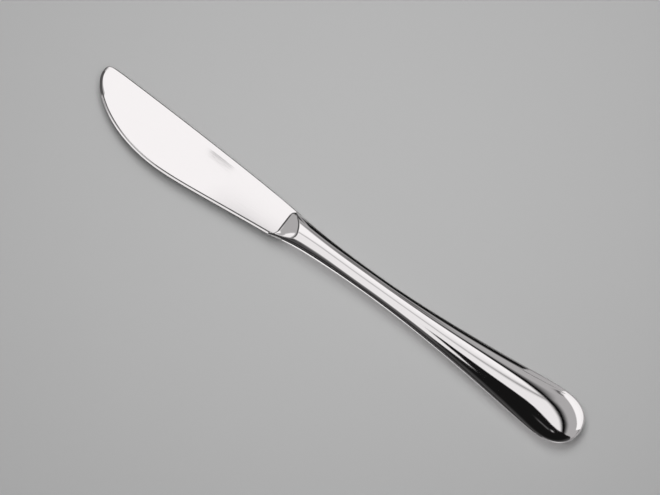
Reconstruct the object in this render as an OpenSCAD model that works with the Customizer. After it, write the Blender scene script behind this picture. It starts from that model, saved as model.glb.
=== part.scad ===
// Table knife: a forged blade with its bolster, spigot and tang, set in filler inside a hollow
// handle of two brazed half shells. It lies on its side as on a table, with +X to the butt,
// +Y to the spine and +Z up, and its two sides are alike.

/* [Lengths] */
// Length from the tip to the step where the blade meets the bolster
blade_len = 95; // [80:1:115]
// Length from that step to the end of the butt
handle_len = 140; // [125:1:155]

/* [Blade] */
// Highest point of the spine above the axis of the handle
spine_rise = 10.85; // [8:0.05:14]
// Distance from the tip to that point
spine_top_at = 7; // [5:0.5:12]
// Height of the foremost point of the tip above the axis of the handle
nose_rise = 7.4; // [5:0.1:7.8]
// Lowest point of the belly below the axis of the handle
belly_drop = 12.3; // [9:0.1:16]
// Distance from the tip to the lowest point of the belly
belly_at = 41; // [34:1:52]
// Thickness of the blade at the bolster
heel_thick = 1.8; // [1.5:0.1:2.2]
// Thickness of the blade at the tip
tip_thick = 1.1; // [0.9:0.1:1.4]
// Width of the bevel ground along the cutting edge
bevel_w = 1.1; // [0.7:0.1:1.8]
// Thickness that is left at the cutting edge
edge_thick = 0.4; // [0.2:0.05:0.6]
// Width of the easing along the corners of the spine
easing_w = 0.35; // [0.15:0.05:0.4]

/* [Bolster] */
// Width of the bolster where it meets the blade
bolster_w = 14.2; // [13.4:0.1:15]
// Height of the step from the cheek of the blade to the scoop
step_h = 0.25; // [0.15:0.05:0.4]
// Distance from the step to the mouth of the handle
collar_len = 10; // [9:0.5:12]
// Rise of the scoop over that distance, at the spine
scoop_rise_spine = 4.2; // [3.6:0.1:4.8]
// Rise of the scoop over that distance, at the cutting edge
scoop_rise_edge = 0.4; // [0.3:0.1:1.2]
// How much more it rises halfway between the two
scoop_bow = 0.55; // [0.3:0.05:0.7]
// How far the corner of the bolster reaches forward at the cutting edge
heel_flare = 2; // [1:0.1:3]
// How far the corner of the scoop draws back at the spine
spine_flare = 3.3; // [2:0.1:4]

/* [Handle] */
// Width of the handle at its waist
waist_w = 8.85; // [7.5:0.05:10]
// Distance from the step to the waist
waist_at = 42; // [34:1:50]
// Width of the handle at its widest, near the butt
butt_w = 20.7; // [17:0.1:24]
// Distance from the widest place to the end of the butt
butt_round = 14; // [11:0.5:18]
// Thickness of the handle at the neck and near the butt, the two places it rests on
rest_thick = 6.3; // [5.8:0.1:7.4]
// Thickness of the handle at its waist
waist_thick = 5; // [4.6:0.1:6]
// Wall of the pressed half shells
wall = 0.8; // [0.6:0.1:1]

/* [Tang] */
// Length of the spigot that locates the half shells
spigot_len = 5; // [3:0.5:8]
// Gap for the braze between the spigot and the half shells
braze_gap = 0.05; // [0.03:0.01:0.1]
// Length of the tang beyond the spigot
tang_len = 48; // [30:1:60]
// Width of the tang at the spigot
tang_w = 4.4; // [3.6:0.1:4.8]
// Width of the tang at its end
tang_end_w = 3.2; // [2.5:0.1:4]
// Thickness of the tang
tang_thick = 1.6; // [1.2:0.1:2]

/* [Hidden] */

// Places along the length, counted from the tip
step_x = blade_len;
front_x = step_x - heel_flare;
mouth_x = step_x + collar_len;
spigot_x = mouth_x + spigot_len;
waist_x = step_x + waist_at;
end_x = blade_len + handle_len;
wide_x = end_x - butt_round;

// Shift from the tip and the axis of the handle to the middle of the underside
part_shift = [-end_x / 2, (belly_drop - spine_rise) / 2, rest_thick / 2];

// Overrun of cuts, and how far parts of one forging reach into each other
over = wall / 2;

// Counts: rings of the neck, the swell and the round butt, points round a section, and steps
// along each curve of the blade's outline and over the scoop
neck_rings = 12;
swell_rings = 18;
butt_rings = 10;
round_points = 36;
tang_points = 48;
blade_steps = 16;
scoop_steps = 8;

// Shape of the sections at the neck and waist and then at the butt, where they come nearer to a
// lens: powers of the width and of the height, where 2 and 2 are an ellipse and more is squarer
width_powers = [2.37, 1.9];
height_powers = [1.95, 1.3];
// Roundness of the butt seen from above, and of the butt and the bolster seen from the side
butt_power = 2.35;
edge_power = 2.38;
roll_power = 2.3;

// The neck's curve leaves the bolster and runs into the waist: places of its two handles
// along it, and the height of the first
neck_shares = [0.16, 0.43];
neck_bow_share = 0.5;
// The swell's curve from the waist to the widest place: places of its two handles
swell_shares = [0.417, 0.893];
// Where the handle is thickest, as a share of the swell
thick_share = 0.77;
// Where the neck begins to roll down to the blade, and over what length, as shares of the collar
roll_share = 1.2;
roll_len_share = 1.7;
// How far the bolster sits below the axis at its front, as a share of its width
sag_share = 0.035;
sag_power = 1.5;
// How hollow the scoop is along the knife, where 1 is flat
scoop_power = 1.05;
// Parts of the bolster's width over which its corner reaches forward at the cutting edge and
// draws back at the spine
flare_share = 0.22;
draw_share = 0.25;

// The belly's two curves and the spine's: places of their handles as shares of each run,
// and how far down they have come as shares of each drop
nose_drop_share = 0.39;
belly_pull_share = 0.415;
heel_pull_shares = [0.21, 0.48];
heel_lift_share = 0.45;
spine_shares = [0.147, 0.734];
spine_drop_shares = [0.067, 0.5];
// The tip's corner: how far its handles stop short of the corner
tip_shares = [0.11, 0.07];
// Steps over which the bevel grows to its full width at the nose
bevel_steps = 4;
// The plate's root inside the bolster: how far in it ends as a share of the collar, and how wide
// it is as a share of the bolster
root_depth_share = 0.35;
root_share = 0.88;
// The hollow of the ground bevel: place and height of its lowest bend, as shares of its width
// and of its rise
hollow_shares = [0.7, 0.42];

function mix(a, b, u) = a + (b - a) * u;
function within(u) = min(max(u, 0), 1);
function ease(u) = (1 - cos(180 * within(u))) / 2;
function bezier(a, b, c, d, u) =
    a * pow(1 - u, 3) + 3 * b * u * pow(1 - u, 2) + 3 * c * u * u * (1 - u) + d * pow(u, 3);
// Height of a rounded end at share u of its length, from full height down to nothing
function round_off(u, power) = pow(1 - pow(within(u), power), 1 / power);
function signed_power(v, p) = sign(v) * pow(abs(v), p);

// The bolster sits a little low towards the blade, and is on the axis from the mouth back
function sag(x) =
    -bolster_w * sag_share * pow(max(mouth_x - x, 0) / (mouth_x - front_x), sag_power);

// Plan of the handle as places along it with half its width there, inset by a wall:
// a curve into the waist, a curve out of it, and a round butt
neck_run = waist_x - front_x;
swell_run = wide_x - waist_x;
neck_curve = [
    [front_x, bolster_w / 2],
    [front_x + neck_run * neck_shares[0], mix(waist_w, bolster_w, neck_bow_share) / 2],
    [front_x + neck_run * neck_shares[1], waist_w / 2],
    [waist_x, waist_w / 2]
];
swell_curve = [
    [waist_x, waist_w / 2],
    [waist_x + swell_run * swell_shares[0], waist_w / 2],
    [waist_x + swell_run * swell_shares[1], butt_w / 2],
    [wide_x, butt_w / 2]
];
function along(curve, u) = bezier(curve[0], curve[1], curve[2], curve[3], u);
function plan(inset) = concat(
    [for (i = [0 : neck_rings - 1]) along(neck_curve, i / neck_rings) - [0, inset]],
    [for (i = [0 : swell_rings - 1]) along(swell_curve, i / swell_rings) - [0, inset]],
    [for (i = [0 : butt_rings - 1]) let (s = sin(90 * i / butt_rings))
        [wide_x + (butt_round - inset) * s, (butt_w / 2 - inset) * round_off(s, butt_power)]]
);

// Half the thickness of the handle at a place along it, inset by a wall
thick_x = mix(waist_x, wide_x, thick_share);
roll_x = step_x + collar_len * roll_share;
roll_len = collar_len * roll_len_share;
function half_thick(x, inset) =
    x < roll_x ? rest_thick / 2 * round_off((roll_x - x) / roll_len, roll_power) - inset
    : x < waist_x ? mix(rest_thick, waist_thick, ease((x - roll_x) / (waist_x - roll_x))) / 2 - inset
    : x < thick_x ? mix(waist_thick, rest_thick, ease((x - waist_x) / (thick_x - waist_x))) / 2 - inset
    : (rest_thick / 2 - inset) * round_off((x - thick_x) / (end_x - inset - thick_x), edge_power);

// One section of the handle as a ring of points
function between(pair, x) = mix(pair[0], pair[1], within((x - waist_x) / (wide_x - waist_x)));
function ring(x, half_w, half_t) =
    let (p = 2 / between(width_powers, x), q = 2 / between(height_powers, x))
    [for (i = [0 : round_points - 1]) let (a = -360 * i / round_points)
        [x, sag(x) + half_w * signed_power(cos(a), p), half_t * signed_power(sin(a), q)]];

// Closed body through rings of equal count. Each end is a fan round the middle of its ring, and
// the far one may run out to a given point instead
function middle(ring) = [for (p = ring) 1 / len(ring)] * ring;
module skin(rings, point = undef) {
    n = len(rings);
    m = len(rings[0]);
    near = n * m;
    far = n * m + 1;
    walls = [for (i = [0 : n - 2], j = [0 : m - 1]) let (k = (j + 1) % m)
        each [[i * m + j, i * m + k, (i + 1) * m + k], [i * m + j, (i + 1) * m + k, (i + 1) * m + j]]];
    near_end = [for (j = [0 : m - 1]) [near, (j + 1) % m, j]];
    far_end = [for (j = [0 : m - 1]) [(n - 1) * m + j, (n - 1) * m + (j + 1) % m, far]];
    ends = [middle(rings[0]), is_undef(point) ? middle(rings[n - 1]) : point];
    polyhedron(concat([for (r = rings) each r], ends), concat(walls, near_end, far_end));
}

// Form of the bolster and handle together, inset by a wall
module handle_form(inset) {
    skin([for (p = plan(inset)) ring(p[0], p[1], half_thick(p[0], inset))], [end_x - inset, 0, 0]);
}

// Slab across the whole part between two places along it
module slab(x1, x2) {
    translate([x1, -butt_w, -rest_thick])
        cube([x2 - x1, 2 * butt_w, 2 * rest_thick]);
}

// Outline of the blade: the cutting edge and the spine, each from the nose to the bolster
heel = [front_x, sag(front_x) - bolster_w / 2];
spine_heel = [front_x, sag(front_x) + bolster_w / 2];
nose = [0, nose_rise];
belly = [belly_at, -belly_drop];
spine_top = [spine_top_at, spine_rise];
edge_path = concat(
    [for (i = [1 : blade_steps]) bezier(
        nose,
        [0, mix(nose_rise, -belly_drop, nose_drop_share)],
        [belly_at * belly_pull_share, -belly_drop],
        belly,
        i / blade_steps)],
    [for (i = [1 : blade_steps]) bezier(
        belly,
        [mix(belly[0], heel[0], heel_pull_shares[0]), -belly_drop],
        [mix(belly[0], heel[0], heel_pull_shares[1]), mix(-belly_drop, heel[1], heel_lift_share)],
        heel,
        i / blade_steps)]
);
spine_path = concat(
    [for (i = [1 : blade_steps]) bezier(
        nose,
        [0, mix(spine_rise, nose_rise, tip_shares[1])],
        [spine_top_at * tip_shares[0], spine_rise],
        spine_top,
        i / blade_steps)],
    [for (i = [1 : blade_steps]) bezier(
        spine_top,
        [mix(spine_top[0], spine_heel[0], spine_shares[0]),
            mix(spine_top[1], spine_heel[1], spine_drop_shares[0])],
        [mix(spine_top[0], spine_heel[0], spine_shares[1]),
            mix(spine_top[1], spine_heel[1], spine_drop_shares[1])],
        spine_heel,
        i / blade_steps)]
);

// Half the thickness of the blade, which thins evenly from the step to the tip
function half_blade(x) = mix(tip_thick, heel_thick, x / step_x) / 2;

// Unit vector to the left of a path at its step i
function left_of(path, i) =
    let (a = path[max(i - 1, 0)], b = path[min(i + 1, len(path) - 1)], d = b - a)
    [-d[1], d[0]] / norm(d);

// One section of the blade from a place e on the cutting edge to a place s on the spine. The
// hollow bevel runs from e to the cheek at e2, and the eased corner from s to the cheek at s2
function blade_ring(e, e2, s, s2) = let (
    eased = norm(s2 - s),
    bend = mix(e, e2, hollow_shares[0]),
    half = [
        [e[0], e[1], edge_thick / 2],
        [bend[0], bend[1], mix(edge_thick / 2, half_blade(e2[0]), hollow_shares[1])],
        [e2[0], e2[1], half_blade(e2[0])],
        [s2[0], s2[1], half_blade(s2[0])],
        [s[0], s[1], half_blade(s[0]) - eased]
    ]
) concat(
    [[e[0], e[1], -edge_thick / 2]],
    half,
    [for (i = [len(half) - 1 : -1 : 1]) [half[i][0], half[i][1], -half[i][2]]]
);

// Flat cheeks with the bevels of the cutting edge and the eased corners of the spine. The bevels
// grow at the nose, and the root of the plate narrows inside the bolster
module plate() {
    root_x = step_x + collar_len * root_depth_share;
    root_e = [root_x, sag(root_x) - bolster_w / 2 * root_share];
    root_s = [root_x, sag(root_x) + bolster_w / 2 * root_share];
    skin(concat(
        [for (i = [0 : len(edge_path) - 1]) let (
            e = edge_path[i],
            s = spine_path[i],
            grown = within((i + 1) / bevel_steps)
        ) blade_ring(
            e,
            e + left_of(edge_path, i) * bevel_w * grown,
            s,
            s - left_of(spine_path, i) * easing_w * grown
        )],
        [blade_ring(root_e, root_e + [0, bevel_w], root_s, root_s - [0, easing_w])]
    ));
}

// Space that the two scoops leave between them: it starts with the step that rises from the
// cheeks, and opens more steeply at the spine than at the cutting edge
function across(y) = y / bolster_w + 1 / 2;
function scoop_front(y) = step_x
    - heel_flare * pow(within(1 - across(y) / flare_share), 2)
    + spine_flare * pow(within(1 - (1 - across(y)) / draw_share), 2);
function scoop_rise(y) =
    mix(scoop_rise_edge, scoop_rise_spine, across(y)) + 4 * scoop_bow * across(y) * (1 - across(y));
module between_scoops() {
    reach = bolster_w / 2 + 2 * over;
    ys = [for (i = [0 : scoop_steps]) mix(-reach, reach, i / scoop_steps)];
    cheek = heel_thick / 2;
    start = [for (y = ys) [front_x - over, y, cheek - step_h]];
    foot = [for (y = ys) [scoop_front(y) - step_h, y, cheek - step_h]];
    scoop = [for (i = [0 : scoop_steps]) [for (y = ys)
        let (u = i / scoop_steps, x = mix(scoop_front(y), mouth_x + over, u))
        [x, y, cheek + step_h
            + scoop_rise(y) * pow((x - scoop_front(y)) / collar_len, scoop_power)]]];
    skin([for (top = concat([start, foot], scoop)) concat(
        [for (p = top) p],
        [for (i = [0 : scoop_steps]) let (p = top[scoop_steps - i]) [p[0], p[1], -p[2]]]
    )]);
}

module tang() {
    tang_end_x = spigot_x + tang_len;
    linear_extrude(tang_thick, center = true) polygon([
        [spigot_x - over, -tang_w / 2], [tang_end_x, -tang_end_w / 2],
        [tang_end_x, tang_end_w / 2], [spigot_x - over, tang_w / 2]
    ]);
    translate([tang_end_x, 0, 0])
        cylinder(h = tang_thick, d = tang_end_w, center = true, $fn = tang_points);
}

module blade() {
    color("silver") translate(part_shift) {
        plate();
        intersection() {
            handle_form(0);
            between_scoops();
            slab(front_x, mouth_x);
        }
        intersection() {
            handle_form(wall + braze_gap);
            slab(mouth_x - over, spigot_x);
        }
        tang();
    }
}

// One half shell of the handle, above or below the plane of the seam
module half_shell(below) {
    difference() {
        handle_form(0);
        handle_form(wall);
        slab(0, mouth_x);
        translate([0, -butt_w, below ? 0 : -rest_thick])
            cube([end_x + over, 2 * butt_w, rest_thick]);
    }
}

module handle_shell_upper() {
    color("gainsboro") translate(part_shift) half_shell(false);
}

module handle_shell_lower() {
    color("lightgray") translate(part_shift) half_shell(true);
}

// Filler that is poured round the tang and takes up the rest of the hollow
module handle_filler() {
    color("tan") translate(part_shift) difference() {
        handle_form(wall);
        slab(0, spigot_x);
        tang();
    }
}

blade();
handle_shell_upper();
handle_shell_lower();
handle_filler();
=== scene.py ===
"""Looks of the polished table knife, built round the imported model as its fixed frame.

Lengths below are in millimetres from the tip of the blade (x), from the axis of the handle
(y, towards the spine) and from the middle plane of the thickness (z). place() turns them into
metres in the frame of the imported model.
"""
import math

import bmesh
import bpy
import numpy as np
from mathutils import Matrix, Vector


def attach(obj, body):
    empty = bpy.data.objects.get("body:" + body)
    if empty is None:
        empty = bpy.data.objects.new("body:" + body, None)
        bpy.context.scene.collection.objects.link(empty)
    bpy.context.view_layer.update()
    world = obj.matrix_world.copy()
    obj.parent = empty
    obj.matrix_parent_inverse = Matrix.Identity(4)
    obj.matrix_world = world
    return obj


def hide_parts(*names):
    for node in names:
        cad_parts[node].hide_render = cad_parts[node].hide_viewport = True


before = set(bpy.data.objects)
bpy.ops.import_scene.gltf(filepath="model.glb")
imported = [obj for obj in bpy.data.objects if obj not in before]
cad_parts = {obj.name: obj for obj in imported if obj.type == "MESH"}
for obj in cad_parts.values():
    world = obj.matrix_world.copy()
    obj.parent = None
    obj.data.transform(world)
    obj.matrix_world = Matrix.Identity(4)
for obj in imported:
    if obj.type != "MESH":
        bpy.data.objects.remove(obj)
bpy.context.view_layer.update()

MM = 0.001
MERGE = 1e-7


def mix(a, b, u):
    """a at u = 0 and b at u = 1, in a straight line between them."""
    return a + (b - a) * u


# Sizes of the part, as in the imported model
BLADE_LEN, HANDLE_LEN = 95.0, 140.0
SPINE_RISE, SPINE_TOP_AT, NOSE_RISE = 10.85, 7.0, 7.4
BELLY_DROP, BELLY_AT = 12.3, 41.0
HEEL_THICK, TIP_THICK = 1.8, 1.1
BEVEL_W, EDGE_THICK = 1.1, 0.4
BOLSTER_W, STEP_H, COLLAR_LEN = 14.2, 0.25, 10.0
HEEL_FLARE, SPINE_FLARE = 2.0, 3.3
WAIST_W, WAIST_AT, BUTT_W, BUTT_ROUND = 8.85, 42.0, 20.7, 14.0
REST_THICK, WAIST_THICK, WALL = 6.3, 5.0, 0.8

# Shares and powers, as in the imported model. The powers of the width and of the height in a section
# are those at the waist and at the butt. The sag is a share of the bolster's width, and the roll
# down to the blade starts and ends at shares of the collar.
WIDTH_POWERS, HEIGHT_POWERS = (2.37, 1.9), (1.95, 1.3)
BUTT_POWER, EDGE_POWER, ROLL_POWER = 2.35, 2.38, 2.3
SAG_SHARE, SAG_POWER, ROLL_SHARE, ROLL_LEN_SHARE = 0.035, 1.5, 1.2, 1.7
NECK_SHARES, NECK_BOW_SHARE = (0.16, 0.43), 0.5
SWELL_SHARES, THICK_SHARE = (0.417, 0.893), 0.77
SCOOP_POWER, FLARE_SHARE, DRAW_SHARE = 1.05, 0.22, 0.25
NOSE_DROP_SHARE, BELLY_PULL_SHARE = 0.39, 0.415
HEEL_PULL_SHARES, HEEL_LIFT_SHARE = (0.21, 0.48), 0.45
SPINE_SHARES, SPINE_DROP_SHARES = (0.147, 0.734), (0.067, 0.5)
ROOT_DEPTH_SHARE, ROOT_SHARE = 0.35, 0.88

# Values of the look alone. The scoop's rise at the spine, at the edge and, more than in a straight
# line, between them
SCOOP_RISE_SPINE, SCOOP_RISE_EDGE, SCOOP_BOW = 3.4, 0.9, 0.85
# The step is a ramp: where it leaves the cheek and where it ends, counted from the step, and how
# far it goes on below the cheek as a share of the step's height
RAMP_FROM, RAMP_TO, RAMP_BELOW_SHARE = -0.45, 0.2, 0.5
# The lip along the ridge: its height, and over what difference in height it rises and fades
LIP, LIP_RISE, LIP_FADE = 0.3, 0.1, 0.5
# The tip's foremost place and how far the handles of its curves stop short of its corner, and the
# easing of the spine's corners, with the places between which it narrows from the bevel's width
NOSE_AT, TIP_SHARES = 0.011, (0.08, 0.05)
EASING_W, EASING_FROM = 0.55, (0.5, 3.3)
# The bevel's hollow: its power, the share of the rise that stays flat, and the places between
# which it sets in
HOLLOW_POWER, FLAT_SHARE, HOLLOW_FROM = 5.5, 0.35, (3, 11)

# Counts: steps along each curve of the blade, points across its bevel, its cheek and the easing of
# its spine, rings and points of the bolster, and places along a half shell and round it
BLADE_STEPS, BEVEL_POINTS, CHEEK_POINTS, EASING_POINTS = 150, 13, 9, 6
BOLSTER_RINGS, BOLSTER_POINTS = 200, 480
SHELL_STEPS, SHELL_POINTS, STRAIGHT_SHARE = 260, 97, 0.78

STEP_X = BLADE_LEN
FRONT_X = STEP_X - HEEL_FLARE
MOUTH_X = STEP_X + COLLAR_LEN
WAIST_X = STEP_X + WAIST_AT
END_X = BLADE_LEN + HANDLE_LEN
WIDE_X = END_X - BUTT_ROUND
THICK_X = mix(WAIST_X, WIDE_X, THICK_SHARE)
ROLL_X, ROLL_LEN = STEP_X + COLLAR_LEN * ROLL_SHARE, COLLAR_LEN * ROLL_LEN_SHARE
SHIFT = np.array([-END_X / 2, (BELLY_DROP - SPINE_RISE) / 2, REST_THICK / 2])


# Curves and small helpers

def smooth(low, high, u):
    """0 below low, 1 above high, and a cubic ease between them."""
    t = np.clip((u - low) / (high - low), 0, 1)
    return t * t * (3 - 2 * t)


def bezier(points, u):
    """Cubic curve through four control points: each weighs by its Bernstein polynomial of u."""
    a, b, c, d = (np.asarray(p, float) for p in points)
    u = np.asarray(u)[:, None]
    return a * (1 - u) ** 3 + 3 * b * u * (1 - u) ** 2 + 3 * c * u * u * (1 - u) + d * u ** 3


def ease(u):
    """Half a cosine wave from 0 to 1."""
    return (1 - np.cos(np.pi * np.clip(u, 0, 1))) / 2


def round_off(u, power):
    """Height of a rounded end: the power-th root of 1 minus u to that power."""
    return np.clip(1 - np.clip(u, 0, 1) ** power, 0, 1) ** (1 / power)


def sag(x):
    """How far the bolster sits off the axis: a power of the distance from the handle's mouth."""
    share = np.maximum(MOUTH_X - x, 0) / (MOUTH_X - FRONT_X)
    return -BOLSTER_W * SAG_SHARE * share ** SAG_POWER


NECK = [(FRONT_X, BOLSTER_W / 2),
        (mix(FRONT_X, WAIST_X, NECK_SHARES[0]), mix(WAIST_W, BOLSTER_W, NECK_BOW_SHARE) / 2),
        (mix(FRONT_X, WAIST_X, NECK_SHARES[1]), WAIST_W / 2),
        (WAIST_X, WAIST_W / 2)]
SWELL = [(WAIST_X, WAIST_W / 2),
         (mix(WAIST_X, WIDE_X, SWELL_SHARES[0]), WAIST_W / 2),
         (mix(WAIST_X, WIDE_X, SWELL_SHARES[1]), BUTT_W / 2),
         (WIDE_X, BUTT_W / 2)]
PLAN = np.concatenate([bezier(NECK, np.linspace(0, 1, 600)),
                       bezier(SWELL, np.linspace(0, 1, 900)[1:])])


def half_width(x, inset=0.0):
    """Half the width of the handle: the two Bezier curves of its plan, then the round butt."""
    butt = (BUTT_W / 2 - inset) * round_off((x - WIDE_X) / (BUTT_ROUND - inset), BUTT_POWER)
    return np.where(x < WIDE_X, np.interp(x, PLAN[:, 0], PLAN[:, 1]) - inset, butt)


def half_thick(x, inset=0.0):
    """Half the thickness: it rolls up from the blade, dips to the waist, rises to the butt and
    rounds off to nothing at the end."""
    full = REST_THICK / 2
    front = full * round_off((ROLL_X - x) / ROLL_LEN, ROLL_POWER) - inset
    neck = mix(full, WAIST_THICK / 2, ease((x - ROLL_X) / (WAIST_X - ROLL_X))) - inset
    swell = mix(WAIST_THICK / 2, full, ease((x - WAIST_X) / (THICK_X - WAIST_X))) - inset
    end = (full - inset) * round_off((x - THICK_X) / (END_X - inset - THICK_X), EDGE_POWER)
    return np.select([x < ROLL_X, x < WAIST_X, x < THICK_X], [front, neck, swell], end)


def powers(x):
    """Powers of the width and height in a section: they go from the waist's to the butt's."""
    u = np.clip((x - WAIST_X) / (WIDE_X - WAIST_X), 0, 1)
    return mix(*WIDTH_POWERS, u), mix(*HEIGHT_POWERS, u)


def section(x, angle, inset=0.0):
    """Points of the handle's surface: a superellipse in each section across it, whose half axes
    are half_width and half_thick, at an angle from +y towards +z."""
    wide, high = powers(x)
    c, s = np.cos(angle), np.sin(angle)
    y = sag(x) + half_width(x, inset) * np.sign(c) * np.abs(c) ** (2 / wide)
    z = half_thick(x, inset) * np.sign(s) * np.abs(s) ** (2 / high)
    return y, z


# Meshes

def place(points):
    """Millimetres from the tip and the handle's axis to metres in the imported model's frame."""
    return (np.asarray(points, float) + SHIFT) * MM


def add_piece(name, grid, material, caps=False, sharp=30.0):
    """A closed piece from a grid of rings, each closed on itself: quads along the grid, and with
    caps a fan round the middle of the first and of the last ring. Points that meet are merged,
    and faces are turned outwards."""
    rows, cols = grid.shape[:2]
    points = grid.reshape(-1, 3)
    i = np.arange(rows - 1)[:, None] * cols
    j = np.arange(cols)[None, :]
    k = (j + 1) % cols
    quads = np.stack([i + j, i + cols + j, i + cols + k, i + k], -1).reshape(-1, 4)
    faces = quads.tolist()
    if caps:
        points = np.concatenate([points, grid[0].mean(0)[None], grid[-1].mean(0)[None]])
        j, k = j[0], k[0]
        a, last = rows * cols, (rows - 1) * cols
        faces += np.stack([np.full(cols, a), j, k], -1).tolist()
        faces += np.stack([np.full(cols, a + 1), last + k, last + j], -1).tolist()
    mesh = bpy.data.meshes.new(name)
    mesh.from_pydata(place(points).tolist(), [], faces)
    work = bmesh.new()
    work.from_mesh(mesh)
    bmesh.ops.remove_doubles(work, verts=work.verts, dist=MERGE)
    bmesh.ops.recalc_face_normals(work, faces=work.faces)
    work.to_mesh(mesh)
    work.free()
    mesh.polygons.foreach_set("use_smooth", np.ones(len(mesh.polygons), bool))
    mesh.set_sharp_from_angle(angle=math.radians(sharp))
    mesh.materials.append(material)
    piece = bpy.data.objects.new(name, mesh)
    bpy.context.scene.collection.objects.link(piece)
    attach(piece, "root")
    return piece


# Materials

class Nodes:
    """A material or world's node tree, with short calls for adding nodes and joining them."""

    def __init__(self, owner):
        owner.use_nodes = True
        self.tree = owner.node_tree
        self.tree.nodes.clear()

    def add(self, kind, inputs=None, **settings):
        """A new node. Its inputs are values, or outputs of other nodes, which are joined to it."""
        node = self.tree.nodes.new(kind)
        for key, value in settings.items():
            setattr(node, key, value)
        for key, value in (inputs or {}).items():
            if isinstance(value, bpy.types.NodeSocket):
                self.tree.links.new(value, node.inputs[key])
            else:
                node.inputs[key].default_value = value
        return node

    def math(self, operation, a, b):
        """The sum, product or the like of two values."""
        return self.add("ShaderNodeMath", {0: a, 1: b}, operation=operation).outputs[0]

    def ramp(self, value, low, high, to_low, to_high):
        """A smooth step of a value from one range to another."""
        node = self.add("ShaderNodeMapRange", {
            "Value": value, "From Min": low, "From Max": high, "To Min": to_low, "To Max": to_high
        }, interpolation_type="SMOOTHSTEP")
        return node.outputs["Result"]


def noise(nodes, scale, detail, stretch=(1, 1, 1), turn=0.0):
    """Noise on Object coordinates, in cells per metre, turned about z and with its grain
    stretched along the axes."""
    spot = nodes.add("ShaderNodeTexCoord").outputs["Object"]
    laid = nodes.add("ShaderNodeMapping", {
        "Vector": spot, "Scale": stretch, "Rotation": (0, 0, turn)})
    return nodes.add("ShaderNodeTexNoise", {
        "Vector": laid.outputs["Vector"], "Scale": scale, "Detail": detail}).outputs["Fac"]


def polished_steel(name, tint, gloss, grain, turn, depth):
    """Mirror-polished steel. Fine buffing lines and a faint cloudy haze vary its roughness
    between the two values of gloss, and the lines give a very shallow bump."""
    material = bpy.data.materials.new(name)
    nodes = Nodes(material)
    lines = noise(nodes, grain, 4.0, (0.05, 1, 1), turn)
    haze = noise(nodes, 55.0, 2.0)
    wear = nodes.math("ADD", nodes.math("MULTIPLY", lines, 0.6), nodes.math("MULTIPLY", haze, 0.4))
    rough = nodes.ramp(wear, 0.35, 0.7, gloss[0], gloss[1])
    bump = nodes.add("ShaderNodeBump", {"Strength": depth, "Distance": 0.02 * MM, "Height": lines})
    shader = nodes.add("ShaderNodeBsdfPrincipled", {
        "Base Color": tint, "Metallic": 1.0, "Roughness": rough, "Normal": bump.outputs["Normal"]})
    nodes.add("ShaderNodeOutputMaterial", {"Surface": shader.outputs["BSDF"]})
    return material


def cast_cement(name):
    """Grey-brown cement with a coarse mottled colour, small pores and a rough, matt surface."""
    material = bpy.data.materials.new(name)
    nodes = Nodes(material)
    mottle = noise(nodes, 300.0, 6.0)
    pores = noise(nodes, 1800.0, 2.0)
    blend = nodes.add("ShaderNodeMix", {
        "Factor": mottle, 6: (0.42, 0.37, 0.31, 1), 7: (0.66, 0.62, 0.56, 1)}, data_type="RGBA")
    bump = nodes.add("ShaderNodeBump", {"Strength": 0.6, "Distance": 0.2 * MM, "Height": pores})
    shader = nodes.add("ShaderNodeBsdfPrincipled", {
        "Base Color": blend.outputs[2], "Roughness": nodes.ramp(pores, 0.3, 0.7, 0.8, 0.95),
        "Normal": bump.outputs["Normal"]})
    nodes.add("ShaderNodeOutputMaterial", {"Surface": shader.outputs["BSDF"]})
    return material


STEEL = (0.70, 0.69, 0.69, 1)
blade_steel = polished_steel("blade_steel", STEEL, (0.02, 0.07), 2600.0, 0.1, 0.12)
handle_steel = polished_steel("handle_steel", STEEL, (0.02, 0.07), 2200.0, 0.0, 0.08)
cement = cast_cement("cement")


# Blade

HEEL = (FRONT_X, sag(FRONT_X) - BOLSTER_W / 2)
SPINE_HEEL = (FRONT_X, sag(FRONT_X) + BOLSTER_W / 2)
NOSE, BELLY, TOP = (NOSE_AT, NOSE_RISE), (BELLY_AT, -BELLY_DROP), (SPINE_TOP_AT, SPINE_RISE)


def blade_paths(steps):
    """Places along the cutting edge and along the spine, from the nose to the bolster: two
    Bezier curves each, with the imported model's handles but for the tip's. Two places more, close
    to the nose, keep it round."""
    u = np.linspace(0, 1, steps + 1)
    nose_u, rest_u = np.concatenate([[0.001, 0.003], u[1:]]), u[1:]
    edge = np.concatenate([
        bezier([NOSE,
                (0, mix(NOSE_RISE, -BELLY_DROP, NOSE_DROP_SHARE)),
                (BELLY_AT * BELLY_PULL_SHARE, -BELLY_DROP),
                BELLY], nose_u),
        bezier([BELLY,
                (mix(BELLY_AT, FRONT_X, HEEL_PULL_SHARES[0]), -BELLY_DROP),
                (mix(BELLY_AT, FRONT_X, HEEL_PULL_SHARES[1]),
                 mix(-BELLY_DROP, HEEL[1], HEEL_LIFT_SHARE)),
                HEEL], rest_u)])
    spine = np.concatenate([
        bezier([NOSE,
                (0, mix(SPINE_RISE, NOSE_RISE, TIP_SHARES[1])),
                (SPINE_TOP_AT * TIP_SHARES[0], SPINE_RISE),
                TOP], nose_u),
        bezier([TOP,
                (mix(SPINE_TOP_AT, FRONT_X, SPINE_SHARES[0]),
                 mix(SPINE_RISE, SPINE_HEEL[1], SPINE_DROP_SHARES[0])),
                (mix(SPINE_TOP_AT, FRONT_X, SPINE_SHARES[1]),
                 mix(SPINE_RISE, SPINE_HEEL[1], SPINE_DROP_SHARES[1])),
                SPINE_HEEL], rest_u)])
    return edge, spine


def left_of(path):
    """Unit vectors to the left of a path, from the difference of each place's neighbours."""
    d = np.gradient(path, axis=0)
    d /= np.linalg.norm(d, axis=1, keepdims=True)
    return np.stack([-d[:, 1], d[:, 0]], -1)


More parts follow.
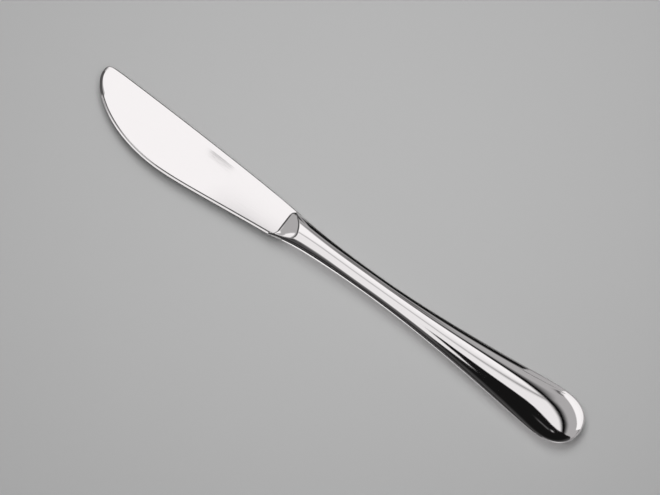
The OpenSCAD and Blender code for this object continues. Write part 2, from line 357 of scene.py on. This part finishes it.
def half_blade(x):
    """Half the thickness of the blade: it thins evenly from the bolster to the tip."""
    return mix(TIP_THICK, HEEL_THICK, x / STEP_X) / 2


def blade_grid():
    """Sections of the blade from the nose to the root, each from a place on the edge to one on
    the spine. Across it run the edge, the bevel, the flat cheek and the rounded spine corner,
    first above and then mirrored below. The bevel is straight at the nose. Further back it is
    hollow: its height is part of the distance in and part of a power of it."""
    edge, spine = blade_paths(BLADE_STEPS)
    gone = np.cumsum(np.linalg.norm(np.diff(spine, axis=0, prepend=[NOSE]), axis=1))[:, None]
    into_edge, into_spine = left_of(edge), -left_of(spine)
    easing = mix(BEVEL_W, EASING_W, smooth(*EASING_FROM, gone))
    inner_edge, inner_spine = edge + into_edge * BEVEL_W, spine + into_spine * easing
    parts = []
    for u in np.linspace(0, 1, BEVEL_POINTS):
        flat = edge + into_edge * BEVEL_W * u
        top = half_blade(inner_edge[:, 0])
        hollow = mix(u ** HOLLOW_POWER, u, FLAT_SHARE)
        rise = mix(u, hollow, smooth(*HOLLOW_FROM, edge[:, 0]))
        parts.append(np.column_stack([flat, mix(EDGE_THICK / 2, top, rise)]))
    for u in np.linspace(0, 1, CHEEK_POINTS)[1:-1]:
        flat = mix(inner_edge, inner_spine, u)
        parts.append(np.column_stack([flat, half_blade(flat[:, 0])]))
    for angle in np.linspace(math.pi / 2, 0, EASING_POINTS):
        flat = spine + into_spine * easing * (1 - math.cos(angle))
        top = half_blade(flat[:, 0])
        drop = np.minimum(easing[:, 0], top - EDGE_THICK / 2)
        parts.append(np.column_stack([flat, top - drop * (1 - math.sin(angle))]))
    above = np.stack(parts, 1)
    below = above[:, ::-1] * (1, 1, -1)
    rings = np.concatenate([above, below], 1)
    root_x = STEP_X + COLLAR_LEN * ROOT_DEPTH_SHARE
    root = rings[-1].copy()
    root[:, 0] = root_x
    root[:, 1] = sag(root_x) + (root[:, 1] - sag(FRONT_X)) * ROOT_SHARE
    return np.concatenate([rings, root[None]])


# Bolster

def scoop_front(y):
    """Where the scoop starts: at the step, and from there in parabolas further forward at the
    edge and further back at the spine."""
    u = y / BOLSTER_W + 0.5
    return (STEP_X - HEEL_FLARE * np.clip(1 - u / FLARE_SHARE, 0, 1) ** 2
            + SPINE_FLARE * np.clip(1 - (1 - u) / DRAW_SHARE, 0, 1) ** 2)


def scoop_height(x, y):
    """Height of the scoop: a short ramp that starts a little below the cheek and ends at the top
    of the step, then a rise with a power of the distance, steeper at the spine than at the edge
    and with a parabola's bow between them."""
    run = x - scoop_front(y)
    u = y / BOLSTER_W + 0.5
    rise = mix(SCOOP_RISE_EDGE, SCOOP_RISE_SPINE, u) + 4 * SCOOP_BOW * u * (1 - u)
    step = STEP_H * np.clip((run - RAMP_FROM) / (RAMP_TO - RAMP_FROM), -RAMP_BELOW_SHARE, 1)
    return HEEL_THICK / 2 + step + rise * (np.maximum(run, 0) / COLLAR_LEN) ** SCOOP_POWER


def bolster_grid():
    """Rings of the bolster from just before the step to the handle's mouth. Each point lies below
    the handle's form by how far the scoop is below it there. Along the ridge a small lip is added
    to that depth: its height times a steep rise and a slow fade, both exponential in the depth."""
    angles = np.linspace(2 * math.pi, 0, BOLSTER_POINTS, endpoint=False)[None]
    u = np.linspace(0, 1, BOLSTER_RINGS)[:, None]
    across = np.sign(np.cos(angles)) * np.abs(np.cos(angles)) ** (2 / WIDTH_POWERS[0])
    start = scoop_front(sag(STEP_X) + across * (BOLSTER_W / 2)) + 2 * RAMP_FROM
    x = start + (MOUTH_X - start) * u
    y, z = section(x, angles)
    depth = np.maximum(np.abs(z) - scoop_height(x, y), 0)
    lip = LIP * (1 - np.exp(-depth / LIP_RISE)) * np.exp(-depth / LIP_FADE)
    floor = np.minimum(np.abs(z), HEEL_THICK / 2 - STEP_H)
    high = np.maximum(np.abs(z) - depth - lip, floor)
    return np.stack([x, y, np.sign(z) * high], -1)


# Handle

def shell_grid(side):
    """One half shell. Each ring runs along the outside from the mouth to the butt and back along
    the inside, at one angle round the handle, and a share of its steps lies before the round butt,
    where they follow a sine. The first and the last ring close the seam's rim."""
    t = np.linspace(0, 1, SHELL_STEPS)
    butt = np.clip((t - STRAIGHT_SHARE) / (1 - STRAIGHT_SHARE), 0, 1)

    def stations(inset):
        straight = mix(MOUTH_X, WIDE_X, t / STRAIGHT_SHARE)
        rounded = WIDE_X + (BUTT_ROUND - inset) * np.sin(math.pi / 2 * butt)
        return np.where(t < STRAIGHT_SHARE, straight, rounded)

    angles = np.linspace(0, math.pi, SHELL_POINTS)[:, None]

    def wall(inset):
        x = stations(inset)[None] + 0 * angles
        y, z = section(x, angles, inset)
        z[[0, -1]] = 0
        return np.stack([x, y, side * z], -1)

    outer, inner = wall(0.0), wall(WALL)
    rings = np.concatenate([outer, inner[:, ::-1]], 1)
    rim = (outer + inner) / 2
    rims = np.concatenate([rim, rim[:, ::-1]], 1)
    return np.concatenate([rims[:1], rings, rims[-1:]])


# The knife

plate = add_piece("blade_plate", blade_grid(), blade_steel, caps=True)
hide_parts("blade")
add_piece("bolster", bolster_grid(), blade_steel, caps=True, sharp=40.0)
upper = add_piece("handle_upper", shell_grid(1), handle_steel)
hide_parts("handle_shell_upper")
lower = add_piece("handle_lower", shell_grid(-1), handle_steel)
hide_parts("handle_shell_lower")
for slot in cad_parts["handle_filler"].material_slots:
    slot.material = cement


# Studio

# The studio is laid out as the camera sees it: x to the right, y away and z up, in millimetres
# from the middle of the picture on the floor
TURN = math.radians(36.4)
RIGHT = np.array([math.cos(TURN), math.sin(TURN), 0])
AWAY = np.array([-math.sin(TURN), math.cos(TURN), 0])
UP = np.array([0, 0, 1])
MIDDLE = np.array([-3.11, 3.66, 0])


def studio(x, y, z):
    """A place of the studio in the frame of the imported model, in metres."""
    return Vector((MIDDLE + x * RIGHT + y * AWAY + z * UP) * MM)


def soft_light(name, centre, size, target, radiance):
    """A rectangular light that faces a place and lights the floor, but isn't itself reflected.
    Its power follows from how bright it looks."""
    data = bpy.data.lights.new(name, "AREA")
    data.shape = "RECTANGLE"
    data.size, data.size_y = size[0] * MM, size[1] * MM
    data.energy = radiance * math.pi * size[0] * size[1] * MM * MM
    lamp = bpy.data.objects.new(name, data)
    bpy.context.scene.collection.objects.link(lamp)
    lamp.location = studio(*centre)
    away = (studio(*target) - studio(*centre)).normalized()
    side = Vector(RIGHT)
    up = side.cross(away).normalized()
    lamp.rotation_euler = Matrix((side, up, -away)).transposed().to_euler()
    lamp.visible_glossy = False


# A large light far behind, and a small one right above
soft_light("key_light", centre=(0, 1260, 1260), size=(1400, 1000), target=(0, 0, 0),
           radiance=2.95)
soft_light("top_light", centre=(12, 10, 270), size=(300, 240), target=(12, 10, 0), radiance=1.13)


def glow(name):
    """Painted reflection: light given off by the boards that the steel reflects, as their attribute
    "level" has it.
    """
    material = bpy.data.materials.new(name)
    nodes = Nodes(material)
    level = nodes.add("ShaderNodeAttribute", attribute_name="level").outputs["Fac"]
    shader = nodes.add("ShaderNodeEmission", {"Color": (1, 0.98, 0.985, 1), "Strength": level})
    nodes.add("ShaderNodeOutputMaterial", {"Surface": shader.outputs["Emission"]})
    return material


shine = glow("ceiling_glow")


def board(name, x, y, z, level):
    """A board of the studio from the coordinates of its grid of places, any of which may be the
    same for all. It is a painted reflection: it glows but lights nothing, it only shows in what the
    steel reflects, and its attribute "level" has its light."""
    grid = np.stack(np.broadcast_arrays(x, y, z), -1)
    rows, cols = grid.shape[:2]
    i = np.arange(rows - 1)[:, None] * cols
    j = np.arange(cols - 1)[None, :]
    faces = np.stack([i + j, i + j + 1, i + cols + j + 1, i + cols + j], -1).reshape(-1, 4)
    places = (MIDDLE + grid.reshape(-1, 3) @ np.stack([RIGHT, AWAY, UP])) * MM
    mesh = bpy.data.meshes.new(name)
    mesh.from_pydata(places.tolist(), [], faces.tolist())
    attribute = mesh.attributes.new("level", "FLOAT", "POINT")
    level = np.broadcast_to(level, (rows, cols))
    attribute.data.foreach_set("value", level.ravel().astype(np.float32))
    mesh.materials.append(shine)
    piece = bpy.data.objects.new(name, mesh)
    bpy.context.scene.collection.objects.link(piece)
    piece.visible_camera = piece.visible_diffuse = piece.visible_shadow = False


def along(x, y, path):
    """Distance to an open path: the least of those to its straight runs."""
    near = np.full(x.shape, np.inf)
    for (ax, ay), (bx, by) in zip(path, path[1:]):
        dx, dy = bx - ax, by - ay
        t = np.clip(((x - ax) * dx + (y - ay) * dy) / (dx * dx + dy * dy), 0, 1)
        near = np.minimum(near, np.hypot(x - ax - t * dx, y - ay - t * dy))
    return near


def inside(x, y, outline):
    """Signed distance to a closed outline, positive inside: the sign comes from how often a ray
    to the right crosses it. A level run is never crossed."""
    closed = outline + outline[:1]
    odd = np.zeros(x.shape, bool)
    for (ax, ay), (bx, by) in zip(closed, closed[1:]):
        if ay != by:
            odd ^= ((ay > y) != (by > y)) & (x < (bx - ax) * (y - ay) / (by - ay) + ax)
    near = along(x, y, closed)
    return np.where(odd, near, -near)


# What the steel reflects, painted on glowing boards that light nothing. A ceiling lies over the
# knife: a bright softbox in two panels with a gap between them, grey cloth round it with painted
# dark streaks of shade, a white card at the right, and in front a black opening through which the
# camera looks. A round wall stands about it.
WHITE, GREY, DIM, BLACK = 1.31, 0.56, 0.12, 0.01
CEILING_Z, CEILING_REACH, CEILING_STEP, WALL_AWAY, STRIP_Z = 300, 420, 4.0, 590, 0.1
SIDE_CARD_X, FRONT_CARD_Y, BACK_WALL_Y = 405, -300, 150
SOFTBOX = [
    (120, -152), (130, -110), (146, -55), (157, -15), (164, 20), (167, 60), (166, 100), (158, 128),
    (136, 150), (110, 153), (92, 166), (70, 192), (38, 230), (0, 262), (-60, 262), (-114, 215),
    (-123, 172), (-115, 138), (-106, 122), (-85, 102), (-62, 86), (-60, 62), (-72, 42), (-98, 30),
    (-112, 40), (-128, 60), (-150, 80), (-165, 96), (-184, 112), (-184, 60), (-180, 10),
    (-186, -40), (-196, -92), (-158, -112), (-138, -130), (-140, -160), (-148, -200),
    (-100, -240), (0, -300)]
OPENING = [
    (-25, -57), (10, -60), (45, -60), (58, -64), (67, -74), (74, -100), (82, -122), (96, -141),
    (116, -156), (132, -163), (150, -190), (200, -236), (250, -300), (310, -430), (-400, -430),
    (-300, -350), (-205, -250), (-170, -212), (-150, -196), (-110, -172), (-75, -150),
    (-62, -118), (-52, -84), (-42, -68)]
CORNER = [
    (-232, 430), (-226, 235), (-250, 190), (-300, 140), (-315, 60), (-335, -20), (-430, -30),
    (-430, 430)]
CARD = [
    (268, -135), (280, -50), (285, 50), (295, 150), (310, 230), (350, 320), (430, 400),
    (430, -150)]
SEAM = [
    (-62, 96), (-34, 76), (0, 57), (20, 36), (40, 23), (60, 18), (80, 20), (105, 27), (130, 36),
    (168, 46)]
# Paths of painted dark streaks of shade and of two painted glints in the reflection
WIDE_PAINTED_SHADE = [(95, 222), (150, 300)]
BACK_PAINTED_SHADE = [(152, 240), (182, 290), (215, 350), (240, 400)]
FRONT_PAINTED_SHADE = [(-180, -128), (-212, -174), (-250, -225), (-310, -290)]
CARD_PAINTED_SHADE = [(298, 232), (318, 285), (345, 325)]
SOFTBOX_PAINTED_SHADE = [(-60, 129.3), (-51, 122.7)]
GLINT = [(62, -172), (63, -173)]
FAINT_GLINT = [(25, -150), (42, -166)]


def bell(distance, width):
    """1 at no distance, and the exponential of minus the square of the distance over the width."""
    return np.exp(-(distance / width) ** 2)


def stroke(level, path, width, value, strength):
    """The level with a soft line along a path, which has a width, a level of its own and a
    strength, and fades as bell() says."""
    return mix(level, value, strength * bell(along(x, y, path), width))


across = np.arange(-CEILING_REACH, CEILING_REACH + 1, CEILING_STEP)
x, y = np.meshgrid(across, across)
box, hole, far = inside(x, y, SOFTBOX), inside(x, y, OPENING), np.hypot(x, y)

# The cloth, with painted shade: a black rim along the right part of the softbox, wider and fainter
# at the back, two dark streaks behind it and one in front at the left, and a dim front and a dim
# corner at the back
rim = smooth(-60, 0, x) * mix(1, 0.3, smooth(180, 225, y))
wide = 1 + 1.6 * smooth(60, 190, y)
level = GREY * mix(1, smooth(9 * wide, 42 * wide, -box), rim)
level = stroke(level, WIDE_PAINTED_SHADE, 50, 0.3, 0.8)
level = stroke(level, BACK_PAINTED_SHADE, 14, 0.1, 0.8)
level = mix(level, DIM, smooth(190, 340, far) * smooth(-60, -140, y) * smooth(120, 0, x))
level = stroke(level, FRONT_PAINTED_SHADE, 16, 0.03, 0.8)
level = mix(level, DIM, smooth(-15, 15, inside(x, y, CORNER)))

# The softbox, with a softer border at the back and a sharper one by the rim, and the card
soft = 30 * smooth(150, 200, y)
bright = mix(1.15, WHITE, smooth(30, 100, y))
level = mix(level, bright, smooth(mix(-14, -5, rim) - soft, mix(3, 14, rim) + soft / 3, box))
level = mix(level, WHITE, smooth(-6, 4, inside(x, y, CARD)))

# The opening, a painted dark streak beside the card, two small painted glints, and the seam of the
# softbox
level = mix(level, mix(BLACK, 0.06, smooth(300, 420, far)), smooth(-4, 4, hole))
level = stroke(level, CARD_PAINTED_SHADE, 8, 0.05, 0.85)
level = stroke(level, GLINT, 6, 0.9, 0.9)
level = stroke(level, FAINT_GLINT, 7, 0.25, 0.6)
strength = mix(0.8, 0.95, smooth(30, 110, x)) * smooth(0, 10, box) * smooth(-70, -40, x)
level = stroke(level, SEAM, 10, 0.42, strength)
board("ceiling", x, y, CEILING_Z, level)

# A narrow painted dark streak of shade in the softbox, finer than the ceiling's grid
x, y = np.meshgrid(np.linspace(-72, -40, 60), np.linspace(112, 140, 60))
level = mix(WHITE, 0.5, bell(along(x, y, SOFTBOX_PAINTED_SHADE), 1.5))
board("softbox_painted_shade", x, y, CEILING_Z - 1, level)

# The round wall, a painted reflection: dim on the left with a light stretch towards the front, dark
# in front, and grey on the right and at the back
turn, z = np.meshgrid(np.linspace(-180, 180, 241), np.linspace(0, CEILING_Z, 20))
level = np.interp(turn, [-180, -172, -163, -151, -145, -75, -60, -40, 100, 125, 180],
                  [DIM, DIM, 1.0, 1.0, 0.04, 0.06, 0.3, GREY, GREY, DIM, DIM])
turn = np.radians(turn)
board("round_wall", WALL_AWAY * np.cos(turn), WALL_AWAY * np.sin(turn), z, level)

# Painted reflections of light cards at the right and low in front, and of a low black wall at the
# back with a narrow grey band in it
y, z = np.meshgrid(np.linspace(-150, 410, 30), np.linspace(0, 298, 40))
board("side_card", SIDE_CARD_X, y, z, mix(0.5, 1.26, smooth(110, 190, z)))
x, z = np.meshgrid(np.linspace(-60, 330, 60), np.linspace(0, 155, 20))
board("front_card", x, FRONT_CARD_Y, z, 0.4 + 0.5 * bell(x - 70, 60))
x, z = np.meshgrid(np.linspace(-60, 185, 120), np.linspace(0, 130, 40))
dark = smooth(124, 82, z) * (1 - 0.9 * bell(x - 55, 5))
board("back_wall", x, BACK_WALL_Y, z, mix(GREY, BLACK, dark))


def table_strip(name, side, low, high, light):
    """A strip just above the table along the handle's near or far side, between two distances
    from its outline, and with the light that a function gives for each place along the handle."""
    along_x, share = np.meshgrid(np.linspace(STEP_X + 3, END_X + 1, 90), np.linspace(0, 1, 8))
    across_y = sag(along_x) + side * (half_width(along_x) + mix(low, high, share))
    grid = np.stack([along_x, across_y, STRIP_Z - REST_THICK / 2 + 0 * along_x], -1)
    grid += SHIFT - MIDDLE
    board(name, grid @ RIGHT, grid @ AWAY, grid @ UP, light(along_x))


# Painted light and shade just above the table: a glowing strip along the handle's near side that
# the steel shows as a light line at its edge, and painted shade as a dark strip beyond it and
# another one on the far side
table_strip("near_painted_light", -1, -2.5, 6,
            lambda x: mix(1.3, 1.0, smooth(105, 190, x)) + 0.5 * smooth(205, 230, x))
table_strip("near_painted_shade", -1, 6, 110, lambda x: mix(0.03, 0.35, smooth(150, 215, x)))
table_strip("far_painted_shade", 1, 11, 110, lambda x: mix(0.02, 0.35, smooth(165, 200, x)))


def matt(name, colour):
    """Matt paint, whose roughness varies a little with a fine grain."""
    material = bpy.data.materials.new(name)
    nodes = Nodes(material)
    grain = noise(nodes, 60.0, 2.0)
    shader = nodes.add("ShaderNodeBsdfPrincipled", {
        "Base Color": colour, "Roughness": nodes.ramp(grain, 0.3, 0.7, 0.85, 0.95),
        "Specular IOR Level": 0.1})
    nodes.add("ShaderNodeOutputMaterial", {"Surface": shader.outputs["BSDF"]})
    return material


# Pale floor
FLOOR_REACH = 4000.0
corners = np.array([(-1, -1), (1, -1), (1, 1), (-1, 1)]) * FLOOR_REACH
mesh = bpy.data.meshes.new("floor")
mesh.from_pydata([studio(x, y, 0) for x, y in corners], [], [(0, 1, 2, 3)])
mesh.materials.append(matt("pale_floor", (0.705, 0.705, 0.705, 1)))
floor = bpy.data.objects.new("floor", mesh)
bpy.context.scene.collection.objects.link(floor)

# Faint even light from the room
world = bpy.data.worlds.new("studio_room")
bpy.context.scene.world = world
nodes = Nodes(world)
background = nodes.add("ShaderNodeBackground", {"Color": (1, 1, 1, 1), "Strength": 0.14})
nodes.add("ShaderNodeOutputWorld", {"Surface": background.outputs["Background"]})

# Camera
CAMERA_AWAY, CAMERA_RISE = 1100, math.radians(75)
data = bpy.data.cameras.new("camera")
data.lens, data.sensor_width = 154.1, 36.0
data.clip_start, data.clip_end = 0.05, 20.0
camera = bpy.data.objects.new("camera", data)
bpy.context.scene.collection.objects.link(camera)
camera.location = studio(0, -CAMERA_AWAY * math.cos(CAMERA_RISE),
                         CAMERA_AWAY * math.sin(CAMERA_RISE))
look = (studio(0, 0, 0) - camera.location).normalized()
side = Vector(RIGHT)
camera.rotation_euler = Matrix((side, side.cross(look), -look)).transposed().to_euler()
bpy.context.scene.camera = camera

view = bpy.context.scene.view_settings
view.view_transform, view.look = "Standard", "None"
